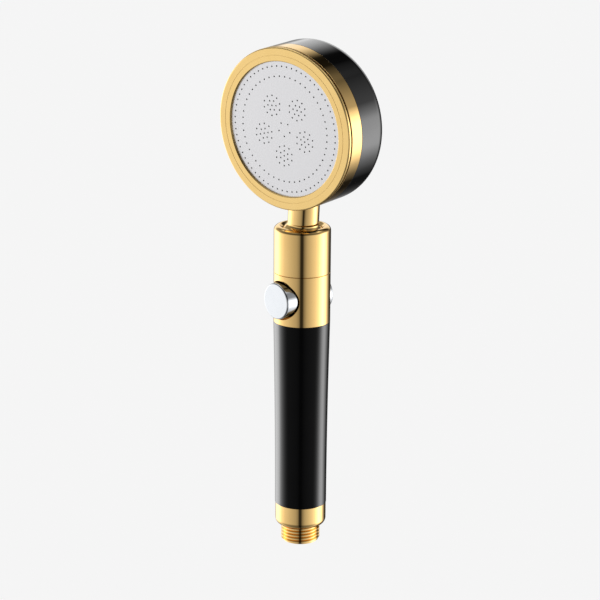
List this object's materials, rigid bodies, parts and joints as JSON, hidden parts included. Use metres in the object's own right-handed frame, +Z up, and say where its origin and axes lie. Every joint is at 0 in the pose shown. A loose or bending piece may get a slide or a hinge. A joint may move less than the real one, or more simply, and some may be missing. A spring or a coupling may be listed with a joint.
{
  "type": "handheld shower head",
  "caption": "Handheld shower head with a round spray face on a ball joint, a push-through stop valve and a slim sleeved handle with a hose thread.",
  "frame": {"origin": "centre of the shoulder where the hose thread meets the handle's tailpiece", "axes": "+Z up the handle's axis from the hose thread towards the head; the head sprays towards -Y, tilted 3 degrees forward and leaning 5.4 degrees to +X at rest"},
  "size_m": [0.0848, 0.0414, 0.2748],
  "materials": {
    "polished_gold": "polished gold plating on brass",
    "satin_gold": "finely turned satin gold plating on brass",
    "black_lacquer": "gloss black baked lacquer on aluminium",
    "chrome_button": "polished chrome plating",
    "stainless_plate": "fine matt stainless steel sheet",
    "plain_steel": "plain stainless steel",
    "plain_brass": "machined brass",
    "white_plastic": "moulded white acetal",
    "black_rubber": "nitrile rubber"
  },
  "bodies": {
    "handle": {"inlet_filter": "plain_steel", "flow_regulator": "white_plastic", "inlet_tailpiece": "polished_gold", "lower_tube_o_ring": "black_rubber", "water_tube": "white_plastic", "upper_tube_o_ring": "black_rubber", "handle_sleeve": "black_lacquer", "valve_body": "polished_gold", "valve_cartridge": "white_plastic", "cartridge_o_rings": "black_rubber", "packing_washer": "plain_steel", "ball_packing": "black_rubber", "collar_nut": "polished_gold"},
    "stop_plunger": {"valve_plunger": "white_plastic", "plunger_o_rings": "black_rubber", "front_button": "chrome_button", "rear_button": "chrome_button"},
    "swivel_seat": {"ball_seat": "white_plastic"},
    "head": {"ball_neck": "polished_gold", "neck_o_ring": "black_rubber", "neck_lock_nut": "plain_brass", "head_shell": "black_lacquer", "gold_band": "polished_gold", "bezel_o_ring": "black_rubber", "flow_distributor": "white_plastic", "plate_gasket": "black_rubber", "spray_plate": "stainless_plate", "bezel_ring": "satin_gold"}
  },
  "joints": [
    {"name": "head_swivel", "type": "hinge", "parent": "handle", "child": "swivel_seat", "pos_m": [0, 0, 0.1584], "axis": [0, 0, 1], "continuous": true},
    {"name": "head_tilt", "type": "hinge", "parent": "swivel_seat", "child": "head", "pos_m": [0, 0, 0.1584], "axis": [1, 0, 0], "range_deg": [-15, 12]},
    {"name": "stop_button", "type": "slide", "parent": "handle", "child": "stop_plunger", "axis": [0.1908, 0.9816, 0], "range_m": [0, 0.0046]}
  ]
}
